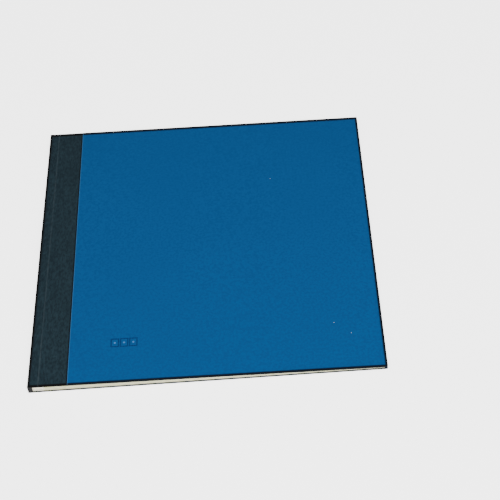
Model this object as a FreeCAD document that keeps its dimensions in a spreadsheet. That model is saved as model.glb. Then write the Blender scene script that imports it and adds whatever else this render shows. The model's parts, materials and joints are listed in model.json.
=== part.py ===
import FreeCAD, Part
import os
import Sketcher

# A sheet album bound in half cloth: two boards covered in leather-grained paper, a dark cloth over
# the spine, and stiff leaves with a clear pocket on each side, held by guards at the bound edge.
# It lies shut on its back cover. +X runs from the spine to the fore edge, +Y to the head, +Z up.
# The origin is under the middle of the back cover.

doc = FreeCAD.newDocument("SheetAlbum")

drivingSizes = [
    ("coverWidth", 320.0, "outer face of the spine to the fore edge"),
    ("coverHeight", 315.0, "tail to head"),
    ("skinThick", 0.3, "spine cloth, and cover paper"),
    ("boardThick", 0.6, "grey board"),
    ("turnInThick", 0.1, "paper turned over the board's edge, and the infill between"),
    ("endpaperThick", 0.1, "sheet pasted over the turn-ins"),
    ("turnInDepth", 14.0, "how far the turn-ins reach over the board"),
    ("clothReach", 34.0, "how far the spine cloth reaches over each cover"),
    ("jointReach", 8.0, "spine face to the crease that the cover folds on"),
    ("jointGap", 0.3, "gap between the pieces on both sides of the crease"),
    ("edgeSquare", 3.0, "cover beyond the leaves at the fore edge"),
    ("headSquare", 1.0, "cover beyond the leaves at head and tail"),
    ("spineDepth", 4.4, "outer face of the spine to the leaves"),
    ("spinePitch", 1.12, "height of one leaf at the spine, with its guard"),
    ("forePitch", 0.28, "height of one leaf at the fore edge"),
    ("layClear", 0.04, "air between one leaf and the next"),
    ("cardThick", 0.16, "leaf"),
    ("filmThick", 0.04, "pocket film"),
    ("filmMargin", 4.0, "leaf beyond its pockets"),
    ("guardReach", 10.0, "width of a guard"),
    ("guardWeb", 1.0, "guard between the spine and the leaf's edge"),
]
leafCount = 6

sheet = doc.addObject("Spreadsheet::Sheet", "Sizes")
for row, (alias, value, meaning) in enumerate(drivingSizes, start=1):
    sheet.set(f"A{row}", str(value))
    sheet.setAlias(f"A{row}", alias)
    sheet.set(f"B{row}", meaning)
doc.recompute()

# Sizes worked out from the sheet, as expressions.
coverThick = "(Sizes.skinThick + Sizes.boardThick + Sizes.turnInThick + Sizes.endpaperThick)"
boardTop = "(Sizes.skinThick + Sizes.boardThick)"
infillTop = "(Sizes.skinThick + Sizes.boardThick + Sizes.turnInThick)"
insideWidth = "(Sizes.coverWidth - Sizes.skinThick)"
insideTall = "(Sizes.coverHeight - 2 * Sizes.skinThick)"
infillTall = "(Sizes.coverHeight - 2 * Sizes.turnInDepth)"
leafTall = "(Sizes.coverHeight - 2 * Sizes.headSquare)"
leafEnd = "(Sizes.coverWidth - Sizes.edgeSquare)"
jointStart = "(Sizes.jointReach - Sizes.jointGap / 2)"
jointEnd = "(Sizes.jointReach + Sizes.jointGap / 2)"
guardEnd = "(Sizes.spineDepth + Sizes.guardReach)"


def roomAbove(reach):
    """Height of one leaf's layer at a distance from the spine, up to the next leaf's air gap."""
    slope = "(Sizes.spinePitch - Sizes.forePitch) / Sizes.coverWidth"
    return f"(Sizes.spinePitch - Sizes.layClear - {reach} * {slope})"


# Placements. Each leaf lies on the one below, a little steeper, because the guards make the block
# thicker at the spine than at the fore edge. A cover is drawn from its outer face inwards.
def lean(level):
    return f"atan({level} * (Sizes.spinePitch - Sizes.forePitch) / Sizes.coverWidth)"


def placement(x, z, pitch, roll):
    return (f"create(<<placement>>; create(<<vector>>; {x}; 0; {z}); "
            f"create(<<rotation>>; 0; {pitch}; {roll}))")


def leafPlace(level):
    lift = f"({coverThick} + {level} * Sizes.spinePitch)"
    return placement("-Sizes.coverWidth / 2", lift, lean(level), 0)


def faceDownPlace(level, thick):
    """A cover lying on this level, seen from its outer face, which is thick above the level."""
    x = f"-Sizes.coverWidth / 2 + {thick} * sin({lean(level)})"
    z = f"{coverThick} + {level} * Sizes.spinePitch + {thick} * cos({lean(level)})"
    return placement(x, z, lean(level), 180)


backPlace = placement("-Sizes.coverWidth / 2", 0, 0, 0)
frontPlace = faceDownPlace(leafCount, coverThick)
# The strip between the spine and the front crease stays with the top leaf, and leans as it does.
frontJointPlace = faceDownPlace(leafCount - 1, f"(Sizes.spinePitch + {coverThick})")


# Profiles. All are symmetric about the X axis of their sketch.
def drawLoop(sketch, corners, centred=()):
    """Closed loop of sides along X and Y, whose centred sides are held by symmetry instead."""
    first = sketch.GeometryCount
    count = len(corners)
    points = [FreeCAD.Vector(x, y, 0) for x, y in corners]
    for i in range(count):
        sketch.addGeometry(Part.LineSegment(points[i], points[(i + 1) % count]), False)
    for i in range(count):
        sketch.addConstraint(Sketcher.Constraint("Coincident", first + i, 2, first + (i + 1) % count, 1))
        direction = "Horizontal" if corners[i][1] == corners[(i + 1) % count][1] else "Vertical"
        if i not in centred:
            sketch.addConstraint(Sketcher.Constraint(direction, first + i))
    return first


def holdX(sketch, edge, end, expression):
    if expression == "0":
        sketch.addConstraint(Sketcher.Constraint("PointOnObject", edge, end, -2))
        return
    index = sketch.addConstraint(Sketcher.Constraint("DistanceX", -1, 1, edge, end, 1.0))
    sketch.setExpression(f"Constraints[{index}]", expression)


def holdTall(sketch, low, high, expression):
    """Distance between two corners, each (edge, end), that mirror each other in the X axis."""
    sketch.addConstraint(Sketcher.Constraint("Symmetric", *low, *high, -1))
    index = sketch.addConstraint(Sketcher.Constraint("DistanceY", *low, *high, 1.0))
    sketch.setExpression(f"Constraints[{index}]", expression)


def rectangle(left, right, tall):
    def draw(sketch):
        first = drawLoop(sketch, [(1, -1), (2, -1), (2, 1), (1, 1)], centred=(1,))
        holdX(sketch, first, 1, left)
        holdX(sketch, first, 2, right)
        holdTall(sketch, (first + 1, 1), (first + 1, 2), tall)
    return draw


def bracket(openEnd, innerEnd, closedEnd, outerTall, innerTall):
    """Three sides of a frame: a wall at closedEnd and an arm along head and tail."""
    def draw(sketch):
        corners = [(1, -3), (3, -3), (3, 3), (1, 3), (1, 2), (2, 2), (2, -2), (1, -2)]
        if closedEnd == "0":
            corners = [(4 - x, y) for x, y in corners]
        first = drawLoop(sketch, corners, centred=(1, 5))
        holdX(sketch, first, 1, openEnd)
        holdX(sketch, first + 4, 2, innerEnd)
        holdX(sketch, first, 2, closedEnd)
        sketch.addConstraint(Sketcher.Constraint("Vertical", first + 3, 2, first + 6, 2))
        holdTall(sketch, (first + 1, 1), (first + 1, 2), outerTall)
        holdTall(sketch, (first + 5, 2), (first + 5, 1), innerTall)
    return draw


def armPair(left, right, outerTall, innerTall):
    """A strip along the head and one along the tail."""
    def draw(sketch):
        head = drawLoop(sketch, [(1, 2), (2, 2), (2, 3), (1, 3)])
        tail = drawLoop(sketch, [(1, -3), (2, -3), (2, -2), (1, -2)])
        holdX(sketch, head, 1, left)
        holdX(sketch, head, 2, right)
        holdTall(sketch, (tail, 2), (head + 2, 1), outerTall)
        holdTall(sketch, (tail + 2, 2), (head, 1), innerTall)
    return draw


# Bodies. Each is a stack of layers, given as (profile, bottom, thickness).
pieces = []


def layeredPiece(label, place, layers):
    body = doc.addObject("PartDesign::Body", label)
    body.Label = label
    planes = [item for item in body.Origin.OriginFeatures if item.Role == "XY_Plane"]
    for number, (profile, bottom, thick) in enumerate(layers, start=1):
        sketch = body.newObject("Sketcher::SketchObject", f"{label}_profile{number}")
        sketch.AttachmentSupport = [(planes[0], "")]
        sketch.MapMode = "FlatFace"
        sketch.setExpression("AttachmentOffset.Base.z", bottom)
        profile(sketch)
        pad = body.newObject("PartDesign::Pad", f"{label}_layer{number}")
        pad.Profile = sketch
        pad.setExpression("Length", thick)
    body.setExpression("Placement", place)
    pieces.append(body)


def spineWrap(reach, thick):
    """Cloth at the spine and folded round its two ends, up to reach."""
    return bracket(reach, "Sizes.skinThick", "0", "Sizes.coverHeight", insideTall), thick


def leafPieces(number):
    level = leafCount - number
    place = leafPlace(level)
    name = f"leaf_{number}"
    spineThick = "Sizes.spinePitch" if number == 1 else roomAbove("Sizes.spineDepth")
    wrap, wrapThick = spineWrap("Sizes.spineDepth", spineThick)
    layeredPiece(f"{name}_spine_cloth", place, [(wrap, "0", wrapThick)])
    lining = rectangle("Sizes.skinThick", "Sizes.spineDepth", insideTall)
    layeredPiece(f"{name}_spine_lining", place, [(lining, "0", spineThick)])

    cardStart = "(Sizes.spineDepth + Sizes.guardWeb)"
    cardTop = "(Sizes.filmThick + Sizes.cardThick)"
    guardLip = rectangle("Sizes.spineDepth", guardEnd, leafTall)
    guardWeb = rectangle("Sizes.spineDepth", cardStart, leafTall)
    layeredPiece(f"{name}_guard", place, [
        (guardLip, "0", "Sizes.filmThick"),
        (guardWeb, "Sizes.filmThick", "Sizes.cardThick"),
        (guardLip, cardTop, f"{roomAbove(guardEnd)} - {cardTop}")])
    card = rectangle(cardStart, leafEnd, leafTall)
    layeredPiece(f"{name}_card", place, [(card, "Sizes.filmThick", "Sizes.cardThick")])

    film = rectangle(f"({guardEnd} + Sizes.filmMargin)", f"({leafEnd} - Sizes.filmMargin)",
                     f"({leafTall} - 2 * Sizes.filmMargin)")
    layeredPiece(f"{name}_film_front", place, [(film, cardTop, "Sizes.filmThick")])
    layeredPiece(f"{name}_film_back", place, [(film, "0", "Sizes.filmThick")])


def clothOverBoard():
    """Layers of the spine cloth along the board: round its head and tail, and turned in."""
    edges = armPair(jointEnd, "Sizes.clothReach", "Sizes.coverHeight", insideTall)
    turnIns = armPair(jointEnd, "Sizes.clothReach", "Sizes.coverHeight", infillTall)
    return [(edges, "Sizes.skinThick", "Sizes.boardThick"), (turnIns, boardTop, "Sizes.turnInThick")]


def coverPieces(side, place):
    """Board, infill, endpaper and cover paper, the same for both covers."""
    layeredPiece(f"{side}_board", place, [
        (rectangle(jointEnd, insideWidth, insideTall), "Sizes.skinThick", "Sizes.boardThick")])
    infillEnd = "(Sizes.coverWidth - Sizes.turnInDepth)"
    layeredPiece(f"{side}_infill", place, [
        (rectangle(jointEnd, infillEnd, infillTall), boardTop, "Sizes.turnInThick")])
    layeredPiece(f"{side}_endpaper", place, [
        (rectangle(jointEnd, leafEnd, leafTall), infillTop, "Sizes.endpaperThick")])
    start, finish, tall = "Sizes.clothReach", "Sizes.coverWidth", "Sizes.coverHeight"
    layeredPiece(f"{side}_cover_paper", place, [
        (rectangle(start, finish, tall), "0", "Sizes.skinThick"),
        (bracket(start, insideWidth, finish, tall, insideTall), "Sizes.skinThick", "Sizes.boardThick"),
        (bracket(start, infillEnd, finish, tall, infillTall), boardTop, "Sizes.turnInThick")])


jointSheet = rectangle("0", jointStart, "Sizes.coverHeight")
jointWrap = spineWrap(jointStart, f"{coverThick} - Sizes.skinThick")
jointStrip = rectangle("Sizes.skinThick", jointStart, insideTall)
jointStripLayer = (jointStrip, "Sizes.skinThick", f"{coverThick} - Sizes.skinThick")

# Back cover: its cloth is one piece from the band over the board to the spine.
coverPieces("back", backPlace)
clothSheet = rectangle("0", "Sizes.clothReach", "Sizes.coverHeight")
layeredPiece("back_spine_cloth", backPlace, [
    (clothSheet, "0", "Sizes.skinThick"),
    (jointWrap[0], "Sizes.skinThick", jointWrap[1])] + clothOverBoard())
layeredPiece("back_joint_strip", backPlace, [jointStripLayer])

for leafNumber in range(leafCount, 0, -1):
    leafPieces(leafNumber)

# Front cover: the cloth folds at the crease, so it is one piece on each side of it.
layeredPiece("front_joint_cloth", frontJointPlace, [
    (jointSheet, "0", "Sizes.skinThick"),
    (jointWrap[0], "Sizes.skinThick", jointWrap[1])])
layeredPiece("front_joint_strip", frontJointPlace, [jointStripLayer])
coverPieces("front", frontPlace)
bandSheet = rectangle(jointEnd, "Sizes.clothReach", "Sizes.coverHeight")
layeredPiece("front_spine_cloth", frontPlace, [(bandSheet, "0", "Sizes.skinThick")] + clothOverBoard())

doc.recompute()

for item in doc.Objects:
    if "Invalid" in item.State or "Error" in item.State:
        raise RuntimeError(f"{item.Label} did not recompute: {item.State}")
for body in pieces:
    if body.Shape.isNull() or not body.Shape.isValid() or len(body.Shape.Solids) != 1:
        raise RuntimeError(f"{body.Label} is not one sound solid")

os.makedirs("parts", exist_ok=True)
for body in pieces:
    body.Shape.exportStep(os.path.join("parts", f"{body.Label}.step"))
print(f"{len(pieces)} pieces written")
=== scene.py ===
import bmesh
import bpy
import json
import math
from mathutils import Matrix, Vector


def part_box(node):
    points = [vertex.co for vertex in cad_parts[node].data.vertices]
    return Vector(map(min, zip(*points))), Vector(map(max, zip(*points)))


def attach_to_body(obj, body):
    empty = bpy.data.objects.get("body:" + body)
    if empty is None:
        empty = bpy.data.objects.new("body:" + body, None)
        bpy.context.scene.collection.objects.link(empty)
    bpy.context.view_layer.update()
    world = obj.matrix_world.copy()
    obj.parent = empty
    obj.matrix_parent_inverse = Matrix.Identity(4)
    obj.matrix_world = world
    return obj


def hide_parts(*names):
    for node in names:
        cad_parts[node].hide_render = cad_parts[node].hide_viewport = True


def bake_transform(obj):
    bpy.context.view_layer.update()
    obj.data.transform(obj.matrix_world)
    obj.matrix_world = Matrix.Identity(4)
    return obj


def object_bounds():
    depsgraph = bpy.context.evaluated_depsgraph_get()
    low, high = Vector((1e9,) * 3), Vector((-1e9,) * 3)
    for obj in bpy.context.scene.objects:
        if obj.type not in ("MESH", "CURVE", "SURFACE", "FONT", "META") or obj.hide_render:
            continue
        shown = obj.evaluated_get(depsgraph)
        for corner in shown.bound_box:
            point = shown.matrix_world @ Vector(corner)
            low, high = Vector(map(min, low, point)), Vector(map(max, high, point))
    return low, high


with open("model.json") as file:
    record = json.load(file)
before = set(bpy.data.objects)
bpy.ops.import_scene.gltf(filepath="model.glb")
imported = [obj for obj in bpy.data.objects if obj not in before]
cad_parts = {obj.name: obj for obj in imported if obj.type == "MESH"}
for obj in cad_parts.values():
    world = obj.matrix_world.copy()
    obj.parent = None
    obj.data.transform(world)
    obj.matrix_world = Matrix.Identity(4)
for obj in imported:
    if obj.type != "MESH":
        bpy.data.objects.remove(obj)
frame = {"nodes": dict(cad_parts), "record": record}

mm = 0.001


def asLists(box):
    return [[float(value) for value in corner] for corner in box]


cadBox = asLists(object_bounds())

# Sizes from the frame. Lengths across the album are measured from the outer face of the spine.
joints = {joint["name"]: joint for joint in frame["record"]["behaviour"]["joints"]}
leafCount = sum(name.endswith("_turn") for name in joints)


def low(node):
    return Vector(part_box(node)[0])


def high(node):
    return Vector(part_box(node)[1])


spineX = low("back_spine_cloth").x
coverWidth = high("back_cover_paper").x - spineX
coverHalf = high("back_cover_paper").y
coverThick = high("back_spine_cloth").z
turnInTop = high("back_cover_paper").z
clothReach = low("back_cover_paper").x - spineX
jointStart = high("back_joint_strip").x - spineX
jointEnd = low("back_board").x - spineX
turnInDepth = high("back_cover_paper").x - high("back_infill").x
leafHalf = high("back_endpaper").y
leafEnd = high("back_endpaper").x - spineX
spineDepth = high("leaf_6_spine_lining").x - spineX
guardEnd = high("leaf_6_guard").x - spineX
guardTop = high("leaf_6_guard").z - coverThick
cardStart = low("leaf_6_card").x - spineX
cardLow = low("leaf_6_card").z - coverThick
cardTop = high("leaf_6_card").z - coverThick
filmStart = low("leaf_6_film_front").x - spineX
filmEnd = high("leaf_6_film_front").x - spineX
filmHalf = high("leaf_6_film_front").y
filmThick = cardLow


def hingeHeight(number):
    return joints[f"leaf_{number}_turn"]["pos_m"][2]


leafPitch = hingeHeight(1) - hingeHeight(2)
topFilm = "leaf_1_film_back"
slopePerLeaf = (hingeHeight(1) - low(topFilm).z) / (high(topFilm).x - spineX) / (leafCount - 1)


def lean(level):
    return math.atan(level * slopePerLeaf)


# Each leaf, and each cover, is drawn flat from the spine and then laid at its own lean.
# A cover's height runs from its outer face inwards.
leafDrift = [0.10, -0.14, 0.05, 0.16, -0.09, 0.03]  # mm towards the head, from the top leaf down


def leafPlace(number):
    turn = Matrix.Rotation(lean(leafCount - number), 4, "Y")
    drift = leafDrift[(number - 1) % len(leafDrift)] * mm
    return Matrix.Translation((spineX, drift, hingeHeight(number))) @ turn


def faceDownPlace(level, base, thick):
    angle = lean(level)
    shift = Vector((spineX + thick * math.sin(angle), 0, base + thick * math.cos(angle)))
    return Matrix.Translation(shift) @ Matrix.Rotation(angle, 4, "Y") @ Matrix.Rotation(math.pi, 4, "X")


backPlace = Matrix.Translation((spineX, 0, 0))
frontPlace = faceDownPlace(leafCount, hingeHeight(1) + leafPitch, coverThick)
frontJointPlace = faceDownPlace(leafCount - 1, hingeHeight(1), leafPitch + coverThick)
coverPlaces = {"back": backPlace, "front": frontPlace}
print("frame read: album", [round(size / mm, 1) for size in (coverWidth, 2 * coverHalf, coverThick)], "mm")


# Shader groups.
def newGroup(name, values, results):
    tree = bpy.data.node_groups.new(name, "ShaderNodeTree")
    sockets = tree.interface
    sockets.new_socket(name="Coordinates", in_out="INPUT", socket_type="NodeSocketVector")
    for label, value in values.items():
        socket = sockets.new_socket(name=label, in_out="INPUT", socket_type="NodeSocketFloat")
        socket.default_value = value
    for label in results:
        sockets.new_socket(name=label, in_out="OUTPUT", socket_type="NodeSocketFloat")
    given = tree.nodes.new("NodeGroupInput").outputs
    result = tree.nodes.new("NodeGroupOutput").inputs
    return tree, given, result


def setInputs(node, values):
    for label, value in values.items():
        node.inputs[label].default_value = value


def mathNode(tree, operation, first, second=None, clamp=False):
    node = tree.nodes.new("ShaderNodeMath")
    node.operation = operation
    node.use_clamp = clamp
    for socket, value in zip(node.inputs, (first, second)):
        if value is None:
            continue
        if isinstance(value, (int, float)):
            socket.default_value = value
        else:
            tree.links.new(value, socket)
    return node.outputs[0]


def noiseNode(tree, vector, scale, detail=2.0, roughness=0.5):
    node = tree.nodes.new("ShaderNodeTexNoise")
    tree.links.new(vector, node.inputs["Vector"])
    if isinstance(scale, (int, float)):
        node.inputs["Scale"].default_value = scale
    else:
        tree.links.new(scale, node.inputs["Scale"])
    setInputs(node, {"Detail": detail, "Roughness": roughness})
    return node.outputs["Fac"]


def rampNode(tree, value, stops):
    node = tree.nodes.new("ShaderNodeValToRGB")
    ramp = node.color_ramp
    for place, level in stops[1:-1]:
        ramp.elements.new(place)
    for element, (place, level) in zip(ramp.elements, stops):
        element.position = place
        element.color = (level, level, level, 1)
    tree.links.new(value, node.inputs["Fac"])
    return node.outputs["Color"]


# Two values added, each at its own share.
def blendOf(tree, first, firstShare, second, secondShare):
    return mathNode(tree, "ADD", mathNode(tree, "MULTIPLY", first, firstShare),
                    mathNode(tree, "MULTIPLY", second, secondShare))


def stretchNode(tree, vector, scale):
    node = tree.nodes.new("ShaderNodeMapping")
    node.inputs["Scale"].default_value = scale
    tree.links.new(vector, node.inputs["Vector"])
    return node.outputs["Vector"]


# Leather grain pressed into paper: small cells with soft valleys, pores, and an uneven mottle.
grainShape = {"wobbleScale": 260.0, "wobbleReach": 0.9 * mm, "softness": 0.35, "poreScale": 4200.0,
              "domeShare": 0.75, "poreShare": 0.25, "valleys": [(0.15, 0.0), (0.75, 1.0)],
              "mottle": [(0.38, 0.0), (0.62, 1.0)]}


def makeGrainGroup(spec=grainShape):
    tree, given, result = newGroup(
        "leatherGrain", {"Cells": 900.0, "Patches": 400.0}, ["Height", "Tint", "Mottle"])
    cells = tree.nodes.new("ShaderNodeTexVoronoi")
    cells.feature = "SMOOTH_F1"
    cells.inputs["Smoothness"].default_value = spec["softness"]
    warp = tree.nodes.new("ShaderNodeVectorMath")
    warp.operation = "MULTIPLY_ADD"
    wobble = tree.nodes.new("ShaderNodeTexNoise")
    wobble.inputs["Scale"].default_value = spec["wobbleScale"]
    tree.links.new(given["Coordinates"], wobble.inputs["Vector"])
    tree.links.new(wobble.outputs["Color"], warp.inputs[0])
    warp.inputs[1].default_value = [spec["wobbleReach"]] * 3
    tree.links.new(given["Coordinates"], warp.inputs[2])
    tree.links.new(warp.outputs[0], cells.inputs["Vector"])
    tree.links.new(given["Cells"], cells.inputs["Scale"])
    pores = noiseNode(tree, given["Coordinates"], spec["poreScale"], 3.0)
    domes = mathNode(tree, "SUBTRACT", 1.0, cells.outputs["Distance"])
    height = blendOf(tree, domes, spec["domeShare"], pores, spec["poreShare"])
    tint = rampNode(tree, cells.outputs["Distance"], spec["valleys"])
    patches = noiseNode(tree, given["Coordinates"], given["Patches"], 3.0, 0.6)
    tree.links.new(rampNode(tree, patches, spec["mottle"]), result["Mottle"])
    tree.links.new(height, result["Height"])
    tree.links.new(tint, result["Tint"])
    return tree


# Plain weave: two sets of threads that pass over and under each other, with uneven yarn.
weaveShape = {"yarnScale": 700.0, "slubScale": 760.0, "slubStretch": (1.0, 0.4, 1.0),
              "slubs": [(0.36, 0.0), (0.64, 1.0)], "heightShares": (0.8, 0.4), "tintShares": (0.4, 0.6)}


def makeWeaveGroup(spec=weaveShape):
    tree, given, result = newGroup("plainWeave", {"Threads": 2400.0}, ["Height", "Tint"])
    scaled = tree.nodes.new("ShaderNodeVectorMath")
    scaled.operation = "SCALE"
    tree.links.new(given["Coordinates"], scaled.inputs[0])
    tree.links.new(given["Threads"], scaled.inputs["Scale"])
    split = tree.nodes.new("ShaderNodeSeparateXYZ")
    tree.links.new(scaled.outputs[0], split.inputs[0])

    def threadsAcross(value):
        wave = mathNode(tree, "SINE", mathNode(tree, "MULTIPLY", value, math.pi))
        return mathNode(tree, "ABSOLUTE", wave)

    across = threadsAcross(split.outputs["X"])
    along = threadsAcross(mathNode(tree, "ADD", split.outputs["Y"], split.outputs["Z"]))
    checker = tree.nodes.new("ShaderNodeTexChecker")
    checker.inputs["Scale"].default_value = 1.0
    tree.links.new(scaled.outputs[0], checker.inputs["Vector"])
    over = mathNode(tree, "MULTIPLY", across, checker.outputs["Fac"])
    under = mathNode(tree, "MULTIPLY", along, mathNode(tree, "SUBTRACT", 1.0, checker.outputs["Fac"]))
    yarn = noiseNode(tree, given["Coordinates"], spec["yarnScale"], 3.0)
    stretched = stretchNode(tree, given["Coordinates"], spec["slubStretch"])
    slubs = rampNode(tree, noiseNode(tree, stretched, spec["slubScale"], 3.0), spec["slubs"])
    threads = mathNode(tree, "ADD", over, under)
    height = blendOf(tree, threads, spec["heightShares"][0], yarn, spec["heightShares"][1])
    tint = blendOf(tree, threads, spec["tintShares"][0], slubs, spec["tintShares"][1])
    tree.links.new(height, result["Height"])
    tree.links.new(tint, result["Tint"])
    return tree


# Paper and board: short fibres, and slow clouds from how the pulp settled.
fibreShape = {"stretch": (1.0, 0.35, 1.0), "cloudScale": 22.0, "tintShares": (0.4, 0.6)}


def makeFibreGroup(spec=fibreShape):
    tree, given, result = newGroup("paperFibre", {"Fineness": 1800.0}, ["Height", "Tint"])
    stretched = stretchNode(tree, given["Coordinates"], spec["stretch"])
    fibres = noiseNode(tree, stretched, given["Fineness"], 4.0, 0.6)
    clouds = noiseNode(tree, given["Coordinates"], spec["cloudScale"], 3.0)
    tint = blendOf(tree, fibres, spec["tintShares"][0], clouds, spec["tintShares"][1])
    tree.links.new(fibres, result["Height"])
    tree.links.new(tint, result["Tint"])
    return tree


# Rubbed edges: the edge mask that the mesh carries, broken up.
wearShape = {"patchScale": 90.0, "patches": [(0.35, 0.25), (0.7, 1.0)], "falloff": 2.0}


def makeWearGroup(spec=wearShape):
    tree, given, result = newGroup("edgeWear", {"Edge": 0.0, "Amount": 0.5}, ["Mask"])
    noise = noiseNode(tree, given["Coordinates"], spec["patchScale"], 5.0, 0.65)
    sharp = mathNode(tree, "POWER", given["Edge"], spec["falloff"])
    worn = mathNode(tree, "MULTIPLY", sharp, rampNode(tree, noise, spec["patches"]))
    mask = mathNode(tree, "MULTIPLY", worn, given["Amount"], clamp=True)
    tree.links.new(mask, result["Mask"])
    return tree


# A few specks of dust, each a small spot of its own size. Most cells of the pattern stay empty.
dustShape = {"emptyShare": 0.8}


def makeDustGroup(spec=dustShape):
    tree, given, result = newGroup("dustSpecks", {"Spacing": 70.0, "Size": 0.035}, ["Mask"])
    spots = tree.nodes.new("ShaderNodeTexVoronoi")
    tree.links.new(given["Coordinates"], spots.inputs["Vector"])
    tree.links.new(given["Spacing"], spots.inputs["Scale"])
    split = tree.nodes.new("ShaderNodeSeparateColor")
    tree.links.new(spots.outputs["Color"], split.inputs[0])
    rare = mathNode(tree, "GREATER_THAN", split.outputs["Red"], spec["emptyShare"])
    reach = mathNode(tree, "MULTIPLY", split.outputs["Green"], given["Size"])
    near = mathNode(tree, "LESS_THAN", spots.outputs["Distance"], reach)
    tree.links.new(mathNode(tree, "MULTIPLY", rare, near), result["Mask"])
    return tree


# A centred row of stamp outlines with toothed edges, each with a round spot in it for a painted highlight.
def makeStampsGroup():
    lengths = ["Centre X", "Centre Y", "Width", "Height", "Spacing", "Line", "Tooth", "Tooth pitch",
               "Spot", "Count"]
    tree, given, result = newGroup("stampRow", {name: 0.01 for name in lengths}, ["Mask", "Centre"])
    split = tree.nodes.new("ShaderNodeSeparateXYZ")
    tree.links.new(given["Coordinates"], split.inputs[0])

    def link(operation, first, second=None):
        return mathNode(tree, operation, first, second)

    across = link("SUBTRACT", split.outputs["X"], given["Centre X"])
    along = link("SUBTRACT", split.outputs["Y"], given["Centre Y"])
    halfRow = link("MULTIPLY", link("MULTIPLY", given["Spacing"], given["Count"]), 0.5)
    inRow = link("LESS_THAN", link("ABSOLUTE", across), halfRow)
    halfStep = link("MULTIPLY", given["Spacing"], 0.5)
    withinStep = link("FLOORED_MODULO", link("ADD", across, halfRow), given["Spacing"])
    folded = link("SUBTRACT", withinStep, halfStep)
    besideX = link("SUBTRACT", link("ABSOLUTE", folded), link("MULTIPLY", given["Width"], 0.5))
    besideY = link("SUBTRACT", link("ABSOLUTE", along), link("MULTIPLY", given["Height"], 0.5))
    outside = link("MAXIMUM", besideX, besideY)
    turns = link("MULTIPLY", link("DIVIDE", link("ADD", folded, along), given["Tooth pitch"]), 2 * math.pi)
    toothed = link("ADD", outside, link("MULTIPLY", link("COSINE", turns), given["Tooth"]))
    nearest = link("ABSOLUTE", toothed)
    fromCentre = link("SQRT", link("ADD", link("POWER", folded, 2.0), link("POWER", along, 2.0)))
    inSpot = link("LESS_THAN", fromCentre, given["Spot"])
    tree.links.new(link("MULTIPLY", inSpot, inRow), result["Centre"])
    stroke = tree.nodes.new("ShaderNodeMapRange")
    tree.links.new(nearest, stroke.inputs["Value"])
    tree.links.new(link("MULTIPLY", given["Line"], 0.4), stroke.inputs["From Min"])
    tree.links.new(given["Line"], stroke.inputs["From Max"])
    setInputs(stroke, {"To Min": 1.0, "To Max": 0.0})
    tree.links.new(link("MULTIPLY", stroke.outputs["Result"], inRow), result["Mask"])
    return tree


groups = {
    "stamps": makeStampsGroup(),
    "grain": makeGrainGroup(),
    "weave": makeWeaveGroup(),
    "fibre": makeFibreGroup(),
    "wear": makeWearGroup(),
    "dust": makeDustGroup(),
}
print("shader groups made:", ", ".join(groups))


# Materials.
def startMaterial(name):
    material = bpy.data.materials.new(name)
    material.use_nodes = True
    tree = material.node_tree
    shader = tree.nodes["Principled BSDF"]
    coordinates = tree.nodes.new("ShaderNodeTexCoord").outputs["Object"]
    return material, tree, shader, coordinates


def placeGroup(tree, key, links, values):
    node = tree.nodes.new("ShaderNodeGroup")
    node.node_tree = groups[key]
    for label, socket in links.items():
        tree.links.new(socket, node.inputs[label])
    setInputs(node, values)
    return node


# A mask that the mesh carries: edge, cut, ridge or weld. On the cover paper and the cloth the edge mask
# carries painted shade, and the ridge mask a painted highlight with wear.
def meshMask(tree, name="edge"):
    node = tree.nodes.new("ShaderNodeAttribute")
    node.attribute_name = name
    return node.outputs["Fac"]


def mixColours(tree, mask, first, second):
    node = tree.nodes.new("ShaderNodeMix")
    node.data_type = "RGBA"
    node.clamp_factor = True
    tree.links.new(mask, node.inputs[0])
    for socket, colour in ((node.inputs[6], first), (node.inputs[7], second)):
        if isinstance(colour, tuple):
            socket.default_value = (*colour, 1)
        else:
            tree.links.new(colour, socket)
    return node.outputs[2]


def spread(tree, mask, least, most):
    node = tree.nodes.new("ShaderNodeMapRange")
    tree.links.new(mask, node.inputs["Value"])
    setInputs(node, {"To Min": least, "To Max": most})
    return node.outputs["Result"]


def addBump(tree, shader, height, distance, strength):
    node = tree.nodes.new("ShaderNodeBump")
    setInputs(node, {"Distance": distance, "Strength": strength})
    tree.links.new(height, node.inputs["Height"])
    tree.links.new(node.outputs["Normal"], shader.inputs["Normal"])


def addWear(tree, coordinates, mask, amount, base, colour):
    wear = placeGroup(tree, "wear", {"Coordinates": coordinates, "Edge": mask}, {"Amount": amount})
    return mixColours(tree, wear.outputs["Mask"], base, colour)


def addDust(tree, coordinates, base, look):
    dust = placeGroup(tree, "dust", {"Coordinates": coordinates},
                      {"Spacing": look["dustPerMetre"], "Size": look["dustSize"]})
    return mixColours(tree, dust.outputs["Mask"], base, look["dust"])


def finishSurface(tree, shader, colour, tint, height, look):
    tree.links.new(colour, shader.inputs["Base Color"])
    tree.links.new(spread(tree, tint, *look["roughness"]), shader.inputs["Roughness"])
    addBump(tree, shader, height, look["relief"], look["bump"])


coverPaperLook = {
    # edge is a near-black painted shade for the rim and the board's edges.
    "deep": (0.0003, 0.063, 0.212), "light": (0.0007, 0.094, 0.289), "edge": (0.0003, 0.0016, 0.005),
    "rubbed": (0.10, 0.22, 0.36), "core": (0.10, 0.26, 0.45), "dust": (0.55, 0.62, 0.68),
    "cellsPerMetre": 1500.0, "patchesPerMetre": 420.0, "clouds": (0.47, 0.93), "mottle": 0.72,
    "cloudsPerMetre": 9.0, "grainShade": 0.22, "wearAmount": 0.025, "cutShade": 0.55, "dustPerMetre": 60.0,
    "dustSize": 0.045, "specular": 0.12, "relief": 0.06 * mm, "bump": 0.35, "roughness": (0.42, 0.56),
}
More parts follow.
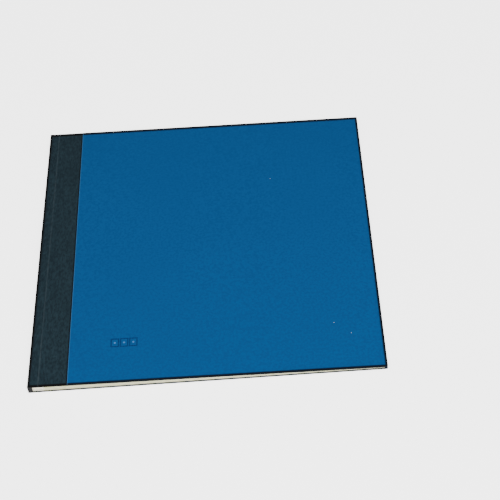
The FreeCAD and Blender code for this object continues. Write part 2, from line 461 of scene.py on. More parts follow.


# A row of small perforated stamps, pressed blind into the front cover near the spine and tail, each with a
# painted highlight spot.
emblemLook = {"count": 3, "fromSpine": 85.0 * mm, "fromTail": 43.0 * mm,
              "width": 6.6 * mm, "height": 8.4 * mm, "spacing": 8.4 * mm, "line": 0.55 * mm,
              "tooth": 0.28 * mm, "toothPitch": 1.4 * mm,
              "spot": 1.1 * mm, "colour": (0.002, 0.014, 0.075), "strength": 0.9, "depth": 1.8,
              "spotColour": (0.06, 0.19, 0.48)}


def pressedMarks(tree, coordinates, spec=emblemLook):
    values = {"Centre X": spineX + spec["fromSpine"], "Centre Y": spec["fromTail"] - coverHalf,
              "Tooth pitch": spec["toothPitch"]}
    for label in ("Width", "Height", "Spacing", "Line", "Tooth", "Spot", "Count"):
        values[label] = spec[label.lower()]
    return placeGroup(tree, "stamps", {"Coordinates": coordinates}, values).outputs


def makeCoverPaper(name, pressed, look=coverPaperLook):
    material, tree, shader, coordinates = startMaterial(name)
    grain = placeGroup(tree, "grain", {"Coordinates": coordinates},
                       {"Cells": look["cellsPerMetre"], "Patches": look["patchesPerMetre"]})
    clouds = noiseNode(tree, coordinates, look["cloudsPerMetre"], 3.0)
    base = mixColours(tree, spread(tree, clouds, *look["clouds"]), look["deep"], look["light"])
    mottle = spread(tree, grain.outputs["Mottle"], 0.0, look["mottle"])
    shade = spread(tree, grain.outputs["Tint"], 0.0, look["grainShade"])
    grained = mixColours(tree, shade, mixColours(tree, mottle, base, look["deep"]), look["deep"])
    height = grain.outputs["Height"]
    if pressed:
        marks = pressedMarks(tree, coordinates)
        strength = spread(tree, marks["Mask"], 0.0, emblemLook["strength"])
        grained = mixColours(tree, strength, grained, emblemLook["colour"])
        # Painted highlight: a lighter round spot in each stamp.
        grained = mixColours(tree, marks["Centre"], grained, emblemLook["spotColour"])
        depth = mathNode(tree, "MULTIPLY", marks["Mask"], emblemLook["depth"])
        height = mathNode(tree, "SUBTRACT", height, depth)
    edge = meshMask(tree)
    # Painted shade: the paper goes near black towards its edges and round the board's edge.
    paintedShadeEdge = mixColours(tree, edge, grained, look["edge"])
    worn = addWear(tree, coordinates, edge, look["wearAmount"], paintedShadeEdge, look["rubbed"])
    cut = mixColours(tree, spread(tree, meshMask(tree, "cut"), 0.0, look["cutShade"]), worn, look["core"])
    dusty = addDust(tree, coordinates, cut, look)
    finishSurface(tree, shader, dusty, grain.outputs["Tint"], height, look)
    shader.inputs["Specular IOR Level"].default_value = look["specular"]
    return material


spineClothLook = {
    "thread": (0.0215, 0.0450, 0.0590), "valley": (0.0032, 0.0105, 0.0165),
    # edge is a near-black painted shade for the cloth's edges, the spine's corner and the paper's lapped
    # edge.
    "edge": (0.0003, 0.0005, 0.0008), "patchesPerMetre": 45.0, "patchShade": 0.4, "wearAmount": 0.5,
    "dustPerMetre": 80.0, "dustSize": 0.04, "specular": 0.15,
    # rubbed, at wearAmount over the ridge, is rubbed cloth and a painted highlight at once.
    "rubbed": (0.06, 0.085, 0.10), "dust": (0.40, 0.45, 0.48),
    "threadsPerMetre": 2600.0, "relief": 0.08 * mm, "bump": 0.5, "roughness": (0.62, 0.82),
}


def makeSpineCloth(look=spineClothLook):
    material, tree, shader, coordinates = startMaterial("spineClothBlueBlack")
    weave = placeGroup(tree, "weave", {"Coordinates": coordinates}, {"Threads": look["threadsPerMetre"]})
    base = mixColours(tree, weave.outputs["Tint"], look["valley"], look["thread"])
    patches = noiseNode(tree, coordinates, look["patchesPerMetre"], 4.0)
    uneven = mixColours(tree, spread(tree, patches, 0.0, look["patchShade"]), base, look["valley"])
    # Painted shade: the cloth goes near black along its edges, round the spine's corner and under the paper's
    # edge.
    paintedShadeEdge = mixColours(tree, meshMask(tree), uneven, look["edge"])
    # Over the ridge at the board's edge the rubbed colour is both wear and a painted highlight.
    ridge = meshMask(tree, "ridge")
    worn = addWear(tree, coordinates, ridge, look["wearAmount"], paintedShadeEdge, look["rubbed"])
    dusty = addDust(tree, coordinates, worn, look)
    finishSurface(tree, shader, dusty, weave.outputs["Tint"], weave.outputs["Height"], look)
    shader.inputs["Specular IOR Level"].default_value = look["specular"]
    return material


# Plain paper, card or board: fibre, clouds, and a darker or lighter cut edge.
def makePaper(name, look):
    material, tree, shader, coordinates = startMaterial(name)
    fibre = placeGroup(tree, "fibre", {"Coordinates": coordinates}, {"Fineness": look["fineness"]})
    base = mixColours(tree, fibre.outputs["Tint"], look["dark"], look["light"])
    edged = addWear(tree, coordinates, meshMask(tree), look["edgeAmount"], base, look["edge"])
    finishSurface(tree, shader, edged, fibre.outputs["Tint"], fibre.outputs["Height"], look)
    return material


paperLooks = {
    "leafCard": {"dark": (0.80, 0.79, 0.56), "light": (0.91, 0.90, 0.68), "edge": (0.74, 0.71, 0.46),
                 "edgeAmount": 0.5, "fineness": 1500.0, "relief": 0.03 * mm, "bump": 0.4,
                 "roughness": (0.6, 0.75)},
    "endpaperIvory": {"dark": (0.66, 0.63, 0.52), "light": (0.78, 0.76, 0.66), "edge": (0.55, 0.50, 0.38),
                      "edgeAmount": 0.6, "fineness": 1300.0, "relief": 0.04 * mm, "bump": 0.4,
                      "roughness": (0.7, 0.85)},
    "greyBoard": {"dark": (0.17, 0.16, 0.145), "light": (0.27, 0.255, 0.23), "edge": (0.32, 0.30, 0.26),
                  "edgeAmount": 0.3, "fineness": 700.0, "relief": 0.10 * mm, "bump": 0.4,
                  "roughness": (0.85, 0.95)},
    "infillCard": {"dark": (0.36, 0.32, 0.24), "light": (0.47, 0.43, 0.33), "edge": (0.3, 0.27, 0.2),
                   "edgeAmount": 0.3, "fineness": 900.0, "relief": 0.06 * mm, "bump": 0.4,
                   "roughness": (0.8, 0.9)},
    "spineCard": {"dark": (0.33, 0.30, 0.22), "light": (0.50, 0.46, 0.35), "edge": (0.55, 0.50, 0.36),
                  "edgeAmount": 0.4, "fineness": 800.0, "relief": 0.08 * mm, "bump": 0.4,
                  "roughness": (0.75, 0.9)},
}

guardLinenLook = {
    "thread": (0.74, 0.71, 0.58), "valley": (0.50, 0.47, 0.37), "threadsPerMetre": 1500.0,
    "relief": 0.12 * mm, "bump": 0.6, "roughness": (0.75, 0.9),
}


def makeGuardLinen(look=guardLinenLook):
    material, tree, shader, coordinates = startMaterial("guardLinen")
    weave = placeGroup(tree, "weave", {"Coordinates": coordinates}, {"Threads": look["threadsPerMetre"]})
    base = mixColours(tree, weave.outputs["Tint"], look["valley"], look["thread"])
    finishSurface(tree, shader, base, weave.outputs["Tint"], weave.outputs["Height"], look)
    return material


pocketFilmLook = {
    "clear": (0.90, 0.93, 0.95), "weld": (0.96, 0.97, 0.97), "clearAlpha": 0.16, "weldAlpha": 0.55,
    "roughness": (0.07, 0.32), "relief": 0.4 * mm, "bump": 0.12, "specular": 0.7, "ripplesPerMetre": 14.0,
}


def makePocketFilm(look=pocketFilmLook):
    material, tree, shader, coordinates = startMaterial("pocketFilmClear")
    weld = meshMask(tree, "weld")
    ripples = noiseNode(tree, coordinates, look["ripplesPerMetre"], 2.0, 0.4)
    finishSurface(tree, shader, mixColours(tree, weld, look["clear"], look["weld"]), weld, ripples, look)
    tree.links.new(spread(tree, weld, look["clearAlpha"], look["weldAlpha"]), shader.inputs["Alpha"])
    shader.inputs["Specular IOR Level"].default_value = look["specular"]
    material.surface_render_method = "BLENDED"
    return material


materials = {"front": makeCoverPaper("coverPaperBluePressed", True),
             "back": makeCoverPaper("coverPaperBlue", False), "spineCloth": makeSpineCloth(),
             "guardLinen": makeGuardLinen(), "pocketFilm": makePocketFilm()}
for paperName, paperLook in paperLooks.items():
    materials[paperName] = makePaper(paperName, paperLook)
print("materials made:", ", ".join(materials))


def addToScene(thing):
    bpy.context.scene.collection.objects.link(thing)


# Object from points and faces. Masks are values per point that the materials read.
def makeObject(name, vertices, faces, material, place=None, masks=None):
    mesh = bpy.data.meshes.new(name)
    mesh.from_pydata([tuple(point) for point in vertices], [], faces)
    for label, values in (masks or {}).items():
        mesh.attributes.new(label, "FLOAT", "POINT").data.foreach_set("value", values)
    shape = bmesh.new()
    shape.from_mesh(mesh)
    bmesh.ops.recalc_face_normals(shape, faces=shape.faces)
    shape.to_mesh(mesh)
    shape.free()
    if place is not None:
        mesh.transform(place)
    mesh.materials.append(material)
    piece = bpy.data.objects.new(name, mesh)
    addToScene(piece)
    return piece


# Faces of a sheet whose points lie in rows of the same width.
def sheetFaces(rowCount, width):
    faces = []
    for row in range(rowCount - 1):
        for column in range(width - 1):
            a = row * width + column
            faces.append((a, a + 1, a + 1 + width, a + width))
    return faces


def smoothShade(piece, degrees=32):
    mesh = piece.data
    mesh.polygons.foreach_set("use_smooth", [True] * len(mesh.polygons))
    mesh.set_sharp_from_angle(angle=math.radians(degrees))
    mesh.update()


# Gives a sheet its thickness. Its largest face looks outward, and the thickness goes to the other side.
def thicken(piece, thickness, outward):
    mesh = piece.data
    largest = max(mesh.polygons, key=lambda face: face.area)
    if largest.normal.dot(Vector(outward)) < 0:
        mesh.flip_normals()
    solid = piece.modifiers.new("thickness", "SOLIDIFY")
    solid.thickness = thickness
    solid.offset = -1
    solid.use_even_offset = False
    bpy.context.view_layer.update()
    evaluated = piece.evaluated_get(bpy.context.evaluated_depsgraph_get())
    solidMesh = bpy.data.meshes.new_from_object(evaluated)
    piece.modifiers.clear()
    piece.data = solidMesh
    solidMesh.name = piece.name


leastBend = 0.02 * mm  # no rounded corner is drawn tighter than this


# Points round a rectangle inset by offset, anticlockwise from the corner at the left and low in Y.
def roundedOutline(left, right, half, radius, offset, cornerSteps):
    bend = max(radius - offset, leastBend)
    fromEdge = offset + bend
    centres = [(left + fromEdge, -half + fromEdge, 180), (right - fromEdge, -half + fromEdge, 270),
               (right - fromEdge, half - fromEdge, 0), (left + fromEdge, half - fromEdge, 90)]
    points = []
    for x, y, start in centres:
        for step in range(cornerSteps + 1):
            angle = math.radians(start + 90 * step / cornerSteps)
            points.append((x + bend * math.cos(angle), y + bend * math.sin(angle)))
    return points


# Closed solid from rings, each (inset, height), listed from under its middle to over it.
def ringSolid(name, outline, rings, material, place, maskRings=None, ripple=None):
    vertices, masks = [], {label: [] for label in (maskRings or {})}
    for index, (offset, height) in enumerate(rings):
        ring = outline(offset)
        for station, (x, y) in enumerate(ring):
            lift = ripple(index, station, len(ring)) if ripple else 0.0
            vertices.append((x, y, height + lift))
            for label, rule in (maskRings or {}).items():
                masks[label].append(rule(index, station, len(ring)))
    count = len(outline(0.0))
    faces = [tuple(range(count - 1, -1, -1))]
    for index in range(len(rings) - 1):
        base = index * count
        for station in range(count):
            following = (station + 1) % count
            faces.append((base + station, base + following, base + count + following, base + count + station))
    top = (len(rings) - 1) * count
    faces.append(tuple(range(top, top + count)))
    piece = makeObject(name, vertices, faces, material, place, masks)
    smoothShade(piece)
    return piece


endBand = 0.4 * mm  # how far in from head and tail a card's or guard's edge mask fades


# Closed solid with one outline in X and Z all along Y.
def stripSolid(name, profile, half, material, place):
    rows = [-half, -half + endBand, half - endBand, half]
    vertices = [(x, y, z) for y in rows for x, z in profile]
    count = len(profile)
    faces = [tuple(range(count)), tuple(range(3 * count + count - 1, 3 * count - 1, -1))]
    for row in range(3):
        for i in range(count):
            j = (i + 1) % count
            faces.append((row * count + i, (row + 1) * count + i, (row + 1) * count + j, row * count + j))
    edge = [1.0 if row in (0, 3) else 0.0 for row in range(4) for _ in profile]
    piece = makeObject(name, vertices, faces, material, place, {"edge": edge})
    smoothShade(piece, 25)
    return piece


def attach(piece, body, slot, *nodes):
    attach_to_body(piece, body)
    if nodes:
        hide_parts(*nodes)


# Cover papers.
coverPaper = {
    "thickness": 0.12 * mm, "cornerRadius": 1.3 * mm, "outerBend": 0.4 * mm, "innerBend": 0.18 * mm,
    "cutEdge": 0.7 * mm,  # the strip along the cloth that shows the paper's cut edge
    "slant": 1.6 * mm,    # the paper is cut a little askew, so the cloth shows wider at the tail
    # The rims below are painted shade, darkest at the edge.
    "darkRim": [(3.8, 0.0), (2.9, 0.0), (2.4, 0.45), (2.0, 0.95), (0.9, 1.0)],  # inset in mm, darkness
    "turnInRim": [(1.2, 0.85), (3.0, 0.0)],  # the same, on the inside of the cover
    "headRim": 1.5,  # how much wider the dark rim is along the head
}


def paperSlant(y, spec=coverPaper):
    return spec["slant"] * (0.5 - y / (2 * coverHalf))


def arcSteps(count):
    return [math.radians(90 * step / count) for step in range(count + 1)]


# (inset, depth, painted edge shade) from the face, round the board's edge, to the turn-in's end.
def paperRings(spec):
    rings = [(inset * mm, 0.0, dark) for inset, dark in spec["darkRim"]]
    bend, tuck = spec["outerBend"], spec["innerBend"]
    rings += [(bend * (1 - math.sin(a)), bend * (1 - math.cos(a)), 1.0) for a in arcSteps(5)]
    rings += [(tuck * (1 - math.cos(a)), turnInTop - tuck * (1 - math.sin(a)), 1.0) for a in arcSteps(3)]
    rings += [(inset * mm, turnInTop, dark) for inset, dark in spec["turnInRim"]]
    return rings + [(turnInDepth, turnInTop, 0.0)]


def makeCoverPaperPiece(side, spec=coverPaper):
    starts = [clothReach, clothReach + spec["cutEdge"]]
    tailSide = -1 if side == "back" else 1  # the front cover is drawn face down

    def ringPoints(inset):
        bend = max(spec["cornerRadius"] - inset, leastBend)
        right, half = coverWidth - inset, coverHalf - inset
        turns = [a - math.pi / 2 for a in arcSteps(6)]
        corner = [(right - bend + bend * math.cos(a), -half + bend + bend * math.sin(a)) for a in turns]
        headCorner = [(x, -y) for x, y in reversed(corner)]
        tail = [(x + paperSlant(tailSide * half), -half) for x in starts]
        head = [(x + paperSlant(-tailSide * half), half) for x in reversed(starts)]
        return tail + corner + headCorner + head

    rings = paperRings(spec)
    vertices, edge, cut = [], [], []
    for inset, depth, dark in rings:
        points = ringPoints(inset)
        widen = inset * (spec["headRim"] - 1) if depth == 0.0 else 0.0
        for station, (x, y) in enumerate(points):
            onHead = y * tailSide < 0
            vertices.append((x, y + tailSide * widen if onHead else y, depth))
            edge.append(dark)
            cut.append(1.0 if station in (0, len(points) - 1) and depth == 0.0 else 0.0)
    count = len(ringPoints(0.0))
    faces = sheetFaces(len(rings), count)
    faces.append((0, 1, count - 2, count - 1))  # the strip along the cloth
    faces.append(tuple(range(1, count - 1)))
    masks = {"edge": edge, "cut": cut}
    piece = makeObject(f"{side}CoverPaper", vertices, faces, materials[side], None, masks)
    thicken(piece, spec["thickness"], (0, 0, -1))
    piece.data.transform(coverPlaces[side])
    smoothShade(piece)
    attach(piece, f"{side}_cover", "cover_paper", f"{side}_cover_paper")


for side in coverPlaces:
    makeCoverPaperPiece(side)
print("cover papers made")


# Endpapers: the edge of the turn-ins shows through as a faint step.
endpaper = {"cornerRadius": 0.8 * mm, "stepDepth": 0.035 * mm, "stepWidth": 0.5 * mm, "fromEdge": 11.0 * mm,
            "settled": 0.4, "underBend": 0.02 * mm, "topBend": 0.03 * mm, "underRim": 2.0 * mm,
            "topRim": 1.0 * mm, "middle": 8 * mm}


def makeEndpaper(side, spec=endpaper):
    def outline(inset):
        return roundedOutline(jointEnd, leafEnd, leafHalf, spec["cornerRadius"], inset, 4)

    step, wide, under, top = spec["fromEdge"], spec["stepWidth"], spec["underBend"], spec["topBend"]
    lowest, settled = coverThick - spec["stepDepth"], coverThick - spec["settled"] * spec["stepDepth"]
    rings = [(spec["underRim"], turnInTop), (under, turnInTop), (0.0, turnInTop + under),
             (0.0, coverThick - top), (top, coverThick), (spec["topRim"], coverThick), (step, coverThick),
             (step + wide, lowest), (step + 2 * wide, settled), (step + spec["middle"], settled)]
    piece = ringSolid(f"{side}Endpaper", outline, rings, materials["endpaperIvory"], coverPlaces[side],
                      {"edge": lambda index, station, count: 1.0 if 1 <= index <= 4 else 0.0})
    attach(piece, f"{side}_cover", "endpaper", f"{side}_endpaper")


for side in coverPlaces:
    makeEndpaper(side)
print("endpapers made")


# Leaves.
leafLook = {"scoreFrom": 1.6 * mm, "scoreWidth": 0.6 * mm, "scoreDepth": 0.06 * mm, "edgeBend": 0.04 * mm}
guardLook = {"bend": 0.12 * mm}
filmLook = {"cornerRadius": 2.5 * mm, "weldFrom": 0.7 * mm, "weldWidth": 1.4 * mm, "bead": 0.012 * mm,
            "lip": 0.01 * mm, "weldEdge": 0.1 * mm, "underRim": 3.0 * mm, "middle": 1.0 * mm}


def makeCard(number, spec=leafLook):
    score, wide, deep = guardEnd + spec["scoreFrom"], spec["scoreWidth"], spec["scoreDepth"]
    bend = spec["edgeBend"]
    profile = [(cardStart, cardLow), (score, cardLow), (score + wide / 2, cardLow + deep),
               (score + wide, cardLow),
               (leafEnd - bend, cardLow), (leafEnd, cardLow + bend), (leafEnd, cardTop - bend),
               (leafEnd - bend, cardTop), (score + wide, cardTop), (score + wide / 2, cardTop - deep),
               (score, cardTop), (cardStart, cardTop)]
    piece = stripSolid(f"leaf{number}Card", profile, leafHalf, materials["leafCard"], leafPlace(number))
    attach(piece, f"leaf_{number}", "leaf_card", f"leaf_{number}_card")


def makeGuard(number, spec=guardLook):
    bend = spec["bend"]
    profile = [(spineDepth + bend, 0.0), (guardEnd, 0.0), (guardEnd, cardLow), (cardStart, cardLow),
               (cardStart, cardTop), (guardEnd, cardTop), (guardEnd, guardTop - bend),
               (guardEnd - bend, guardTop), (spineDepth + bend, guardTop), (spineDepth, guardTop - bend),
               (spineDepth, bend)]
    piece = stripSolid(f"leaf{number}Guard", profile, leafHalf, materials["guardLinen"], leafPlace(number))
    attach(piece, f"leaf_{number}", "guard_linen", f"leaf_{number}_guard")


def makeFilm(number, face, spec=filmLook):
    outward = 1 if face == "front" else -1
    inner = cardTop if face == "front" else cardLow
    outer = inner + outward * filmThick
    start, finish = spec["weldFrom"], spec["weldFrom"] + spec["weldWidth"]
    lip, weldEdge = spec["lip"], spec["weldEdge"]
    rings = [(spec["underRim"], inner), (lip, inner), (0.0, inner + outward * lip),
             (0.0, outer - outward * lip), (lip, outer), (start, outer), (start + weldEdge, outer),
             (finish, outer), (finish + weldEdge, outer), (finish + spec["middle"], outer)]
    weldRings = (6, 7)  # the two rings between which the film is welded

    # The head edge is the pocket's mouth, so the weld fades out at its two corners.
    def sealed(station, count):
        steps = count // 4
        corner, step = divmod(station, steps)
        return {0: 1.0, 1: 1.0, 2: 1 - step / (steps - 1), 3: step / (steps - 1)}[corner]

    def ripple(index, station, count):
        return outward * spec["bead"] * sealed(station, count) if index in weldRings else 0.0

    def weldMask(index, station, count):
        return sealed(station, count) if index in weldRings else 0.0

    def outline(inset):
        return roundedOutline(filmStart, filmEnd, filmHalf, spec["cornerRadius"], inset, 5)

    piece = ringSolid(f"leaf{number}Film{face.capitalize()}", outline, rings, materials["pocketFilm"],
                      leafPlace(number), {"weld": weldMask}, ripple)
    attach(piece, f"leaf_{number}", "pocket_film", f"leaf_{number}_film_{face}")


for leafNumber in range(1, leafCount + 1):
    makeCard(leafNumber)
    makeGuard(leafNumber)
    makeFilm(leafNumber, "front")
    makeFilm(leafNumber, "back")
print("leaves made:", leafCount)


# Spine cloth.
# Seen along the album, the cloth's path runs from the back cover's band, round the spine, to the
# front cover's band. Each station has an outer point, the point at the inner end of the cloth
# that is folded round head and tail, and how far it is turned in there.
spineCloth = {
    "thickness": 0.12 * mm, "cornerRadius": 0.9 * mm, "edgeBend": 0.4 * mm, "innerBend": 0.18 * mm,
    "underPaper": 3.0 * mm,  # the cloth goes on under the cover paper
    "faceSink": 0.10 * mm,   # the cloth lies this much lower than the paper that laps over it
    "bandSink": 0.16 * mm,   # under the paper
    "hingeHalf": 0.10 * mm,  # half the height of cloth that turns at a leaf's hinge
    "endTuck": 0.4 * mm, "boundaryDent": 0.02 * mm,
    "stripTuck": 0.95 * mm, "overStrip": 0.02 * mm,  # at head and tail it covers the crease's strip
    "wallFlat": 2.2,         # flat again this far from a hinge, counted in hingeHalf
    "topWall": 0.93,         # where the wall meets the upper corner, as a share of the top leaf's height
    "innerCorner": 0.985,    # depth of the inner path at the spine, as a share of the cover's thickness
    # How strong the painted shade is at the tuck, round the spine's corner, beside it, and under the paper's
    # lapped edge.
    "tuckStep": 0.1 * mm, "tuckDark": 0.3, "cornerDark": 0.9, "faceDark": 0.95,
    "lapStep": 0.15 * mm, "lapDark": 0.9,
}
# distance from the spine (mm), sink below the cover's outer face (mm)
creaseShape = [(1.4, 0.10), (1.9, 0.10), (2.6, 0.10), (4.4, 0.11), (5.6, 0.12), (6.6, 0.14), (7.4, 0.16)]
ridgeShape = [(8.5, 0.15), (8.9, 0.10), (9.3, 0.04), (9.8, 0.02), (10.4, 0.04), (11.5, 0.08), (14.0, 0.10)]
creaseSink = 0.17 * mm
# painted shade on the cloth beside the spine's corner, by distance from the spine (mm)
spineShade = {1.4: 1.0, 1.9: 0.95, 2.6: 0.2}
# rubbed cloth and a painted highlight over the ridge at the board's edge, by distance from the spine (mm)
ridgeWearAndHighlight = {8.9: 0.35, 9.3: 0.85, 9.8: 1.0, 10.4: 0.45}
lapShadow = [(-1.6, 0.0), (-0.9, 0.6), (-0.2, 0.85)]  # distance from the paper's edge (mm), darkness


def at(place, reach, depth):
    point = place @ Vector((reach, 0, depth))
    return Vector((point.x, 0, point.z))


def wallStation(z, dent=0.0, spec=spineCloth):
    return {"outer": Vector((spineX + dent * spec["boundaryDent"], 0, z)),
            "inner": Vector((spineX + spineDepth, 0, z)),
            "turnIn": spec["endTuck"], "ridge": 0.0, "dark": 0.0}


# Up the spine from the middle of one leaf to the middle of the next, over their hinge.
def wallStations(firstZ, lastZ, hingeZ, spec=spineCloth):
    reach, flat = spec["hingeHalf"], spec["wallFlat"]
    rows = [(firstZ, 0.0), (hingeZ - flat * reach, 0.0)]
    rows += [(hingeZ + share * reach, 1 - abs(share)) for share in (-1, -0.5, 0, 0.5, 1)]
    rows += [(hingeZ + flat * reach, 0.0), (lastZ, 0.0)]
    return [wallStation(z, dent) for z, dent in rows]


# From the spine's corner, over the crease and the band on a cover, to the end under its paper.
def coverStations(jointPlace, boardPlace, spec=spineCloth):
    bend, innerCorner = spec["cornerRadius"], at(jointPlace, spineDepth, coverThick)
    spineMid = at(jointPlace, spineDepth, coverThick * spec["innerCorner"])
    stations = []

    def add(place, reach, depth, ridge=0.0, dark=0.0, slant=None):
        overBoard = reach > jointStart
        if reach <= spineDepth:
            inner = innerCorner.lerp(spineMid, reach / spineDepth)
        else:
            inner = at(place, reach, turnInTop if overBoard else coverThick + spec["overStrip"])
        turnIn = spec["stripTuck"] if reach > spineDepth else spec["endTuck"]
        if reach >= jointEnd:
            turnIn = turnInDepth
        stations.append({"outer": at(place, reach, depth), "inner": inner, "turnIn": turnIn,
                         "ridge": ridge, "dark": dark, "slant": slant})

    for a in arcSteps(6)[:-1]:
        depth = bend * (1 - math.sin(a)) + spec["faceSink"] * math.sin(a)
        add(jointPlace, bend * (1 - math.cos(a)), depth, dark=spec["cornerDark"])
    add(jointPlace, bend, spec["faceSink"], dark=spec["faceDark"])
    for reach, sink in creaseShape:
        add(jointPlace, reach * mm, sink * mm, dark=spineShade.get(reach, 0.0))
    for share in (0.0, 0.25, 0.5, 0.75, 1.0):
        place = jointPlace if share <= 0.5 else boardPlace
        add(place, jointStart + share * (jointEnd - jointStart), creaseSink)
    for reach, sink in ridgeShape:
        add(boardPlace, reach * mm, sink * mm, ridge=ridgeWearAndHighlight.get(reach, 0.0))
    for reach, dark in lapShadow:
        add(boardPlace, clothReach + reach * mm, spec["faceSink"], dark=dark, slant=boardPlace)
    add(boardPlace, clothReach + spec["lapStep"], spec["bandSink"], dark=spec["lapDark"], slant=boardPlace)
    add(boardPlace, clothReach + spec["underPaper"], spec["bandSink"], slant=boardPlace)
    return stations


# (y, share of the way in, painted edge shade) at one station, from the folded end to the rim on the face.
def clothRows(station, rimScale, spec=spineCloth):
    depth = (station["inner"] - station["outer"]).length
    bend, tuck, half = spec["edgeBend"], spec["innerBend"], coverHalf
    rows = [(half - station["turnIn"], depth, 0.0)]
    rows += [(half - 0.5 * station["turnIn"] - spec["tuckStep"], depth, spec["tuckDark"])]
    rows += [(half - tuck * (1 - math.sin(a)), depth - tuck * (1 - math.cos(a)), 1.0) for a in arcSteps(3)]
    rows += [(half, 0.5 * depth, 1.0)]
    rows += [(half - bend * (1 - math.cos(a)), bend * (1 - math.sin(a)), 1.0) for a in arcSteps(5)]
    rows += [(half - rimScale * inset * mm, 0.0, dark) for inset, dark in coverPaper["darkRim"][::-1]]
    return [(y, inward / depth, dark) for y, inward, dark in rows]


def pathLength(points):
    return sum((b - a).length for a, b in zip(points, points[1:]))


# One strip of the cloth. It gives back its flat size and its area too.
def makeClothPiece(name, stations, bodies, blendFrom, blendTo, nodes, spec=spineCloth):
    vertices, edge, ridge = [], [], []
    for station in stations:
        tailRows, headRows = clothRows(station, 1.0), clothRows(station, coverPaper["headRim"])
        rows = [(-y, share, dark) for y, share, dark in tailRows] + headRows[::-1]
        for y, share, dark in rows:
            point = station["outer"].lerp(station["inner"], share)
            if station.get("slant"):
                point = point + station["slant"].to_3x3() @ Vector((paperSlant(y), 0, 0))
            vertices.append((point.x, y, point.z))
            edge.append(max(dark, station["dark"]))
            ridge.append(station["ridge"] if share == 0 else 0.0)
    faces = sheetFaces(len(stations), len(vertices) // len(stations))
    masks = {"edge": edge, "ridge": ridge}
    piece = makeObject(name, vertices, faces, materials["spineCloth"], None, masks)
    middle = sum((s["outer"] for s in stations), Vector()) / len(stations)
    cutArea = sum(face.area for face in piece.data.polygons)
    largest = max(piece.data.polygons, key=lambda face: face.area)
    outward = (-1, 0, 0)
    if abs(largest.normal.z) > 0.7:  # it lies mostly on a cover
        outward = (0, 0, 1 if middle.z > cadBox[1][2] / 2 else -1)
    thicken(piece, spec["thickness"], outward)
    smoothShade(piece)
    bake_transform(piece)
    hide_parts(*nodes)
    wide = pathLength([s["outer"] for s in stations])
    tall = 2 * (coverHalf + coverThick + turnInDepth)
    return piece, (wide, tall), cutArea


def leafMiddle(number):
    return hingeHeight(number) + leafPitch / 2


def hingeSpan(height, spec=spineCloth):
    reach = spec["hingeHalf"]
    return (spineX, 0, height - reach), (spineX, 0, height + reach)


lastHinge = hingeHeight(leafCount)
backWall = wallStations(spineCloth["cornerRadius"] + spineCloth["faceSink"], leafMiddle(leafCount), lastHinge)
backPath = list(reversed(coverStations(backPlace, backPlace)))[:-1] + backWall
backCloth, backCut, backArea = makeClothPiece(
    "spineClothBack", backPath, ("back_cover", f"leaf_{leafCount}"), *hingeSpan(lastHinge),
    ["back_spine_cloth", f"leaf_{leafCount}_spine_cloth"])
for number in range(leafCount - 1, 0, -1):
    path = wallStations(leafMiddle(number + 1), leafMiddle(number), hingeHeight(number))
    makeClothPiece(f"spineClothLeaf{number}", path, (f"leaf_{number + 1}", f"leaf_{number}"),
                   *hingeSpan(hingeHeight(number)), [f"leaf_{number}_spine_cloth"])
frontPath = coverStations(frontJointPlace, frontPlace)
topWall = [wallStation(z) for z in (leafMiddle(1), hingeHeight(1) + leafPitch * spineCloth["topWall"])]
creaseFrom = at(frontJointPlace, jointStart, creaseSink)
creaseTo = at(frontPlace, jointEnd, creaseSink)
frontCloth, frontCut, frontArea = makeClothPiece(
    "spineClothFront", topWall + frontPath, ("leaf_1", "front_cover"), creaseFrom, creaseTo,
    ["front_joint_cloth", "front_spine_cloth"])
clothSizes = [round(size / mm, 1) for size in (*backCut, *frontCut)]
print("spine cloth made in", leafCount + 1, "pieces, flat", clothSizes)


# Hinge paper: a strip folded between the top leaf and the front endpaper.
hingePaper = {"reach": 6.1 * mm, "foldAt": 8.1 * mm, "steps": 8, "overGuard": 0.022 * mm,
              "overEndpaper": 0.008 * mm, "besideFold": (4, 1, 0.3)}  # besideFold in mm


def makeHingePaper(spec=hingePaper):
    lowPlace, highPlace = leafPlace(1), frontPlace
    lowHeight = guardTop + spec["overGuard"]
    highDepth = coverThick + spec["overEndpaper"]
    reaches = [spec["foldAt"] + spec["reach"]] + [spec["foldAt"] + step * mm for step in spec["besideFold"]]
    stations = [at(lowPlace, reach, lowHeight) for reach in reaches]
    lowEnd, highEnd = at(lowPlace, spec["foldAt"], lowHeight), at(highPlace, spec["foldAt"], highDepth)
    stations += [lowEnd.lerp(highEnd, step / spec["steps"]) for step in range(spec["steps"] + 1)]
    stations += [at(highPlace, reach, highDepth) for reach in reversed(reaches)]
    rows = [-leafHalf, 0.0, leafHalf]
    vertices = [(p.x, y, p.z) for p in stations for y in rows]
    faces = sheetFaces(len(stations), len(rows))
    piece = makeObject("frontHingePaper", vertices, faces, materials["endpaperIvory"])
    smoothShade(piece, 60)
    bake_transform(piece)


makeHingePaper()
print("hinge paper made")


# The pieces that come from the frame as they are.
carriedLooks = {"_board": "greyBoard", "_infill": "infillCard", "_joint_strip": "spineCard",
                "_spine_lining": "spineCard"}
for nodeName, node in frame["nodes"].items():
    for ending, look in carriedLooks.items():
        if nodeName.endswith(ending):
            node.data.materials.clear()
            node.data.materials.append(materials[look])


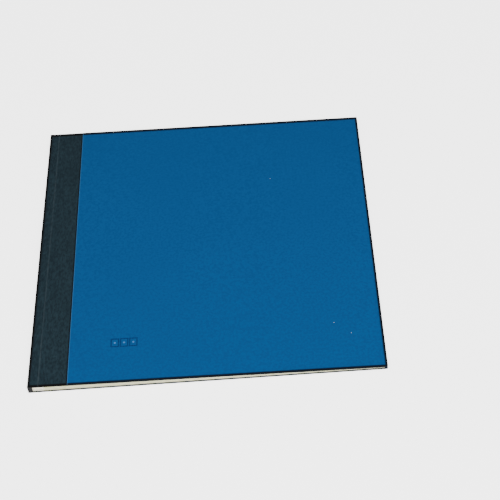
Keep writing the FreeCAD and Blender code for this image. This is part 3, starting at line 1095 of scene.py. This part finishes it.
# Floor, light and camera.
stageLook = {"floor": (0.93, 0.93, 0.93), "floorDark": (0.90, 0.90, 0.90), "roughness": 0.9, "size": 40.0,
             "glow": 3.2, "below": 0.2 * mm, "world": 0.55}
floorMesh = bpy.data.meshes.new("floor")
half = stageLook["size"] / 2
corners = [(-half, -half), (half, -half), (half, half), (-half, half)]
floorMesh.from_pydata([(x, y, -stageLook["below"]) for x, y in corners], [], [(0, 1, 2, 3)])
floor = bpy.data.objects.new("floor", floorMesh)
addToScene(floor)
floorMaterial, floorTree, floorShader, floorCoordinates = startMaterial("paleFloor")
floorNoise = noiseNode(floorTree, floorCoordinates, 3.0)
floorTint = mixColours(floorTree, floorNoise, stageLook["floor"], stageLook["floorDark"])
floorTree.links.new(floorTint, floorShader.inputs["Base Color"])
setInputs(floorShader, {"Roughness": stageLook["roughness"], "Emission Color": (1.0, 1.0, 1.0, 1),
                        "Emission Strength": stageLook["glow"]})
floorMesh.materials.append(floorMaterial)

lightLooks = {
    "overhead": {"place": (0.1, -0.9, 0.95), "size": 0.9, "power": 13.0},
    "fill": {"place": (1.0, -1.0, 1.2), "size": 1.2, "power": 5.0},
    "side": {"place": (-1.6, 0.3, 1.2), "size": 1.0, "power": 3.0},
}
for lightName, look in lightLooks.items():
    lamp = bpy.data.lights.new(lightName, "AREA")
    lamp.shape = "DISK"
    lamp.size = look["size"]
    lamp.energy = look["power"]
    lightObject = bpy.data.objects.new(lightName, lamp)
    lightObject.location = look["place"]
    lightObject.rotation_euler = (-Vector(look["place"])).to_track_quat("-Z", "Y").to_euler()
    addToScene(lightObject)
world = bpy.data.worlds.new("studio")
world.use_nodes = True
setInputs(world.node_tree.nodes["Background"], {"Color": (1.0, 1.0, 1.0, 1), "Strength": stageLook["world"]})
bpy.context.scene.world = world

cameraLook = {"place": (0.0772, -0.7821, 0.9276), "turn": (39.677, 3.069, -2.548), "lens": 90.38,
              "shift": (-0.0403, -0.0024), "sensor": 36.0}
camera = bpy.data.objects.new("camera", bpy.data.cameras.new("camera"))
camera.location = cameraLook["place"]
camera.rotation_euler = [math.radians(angle) for angle in cameraLook["turn"]]
camera.data.lens = cameraLook["lens"]
camera.data.sensor_width = cameraLook["sensor"]
camera.data.shift_x, camera.data.shift_y = cameraLook["shift"]
addToScene(camera)
bpy.context.scene.camera = camera
print("stage, light and camera set")
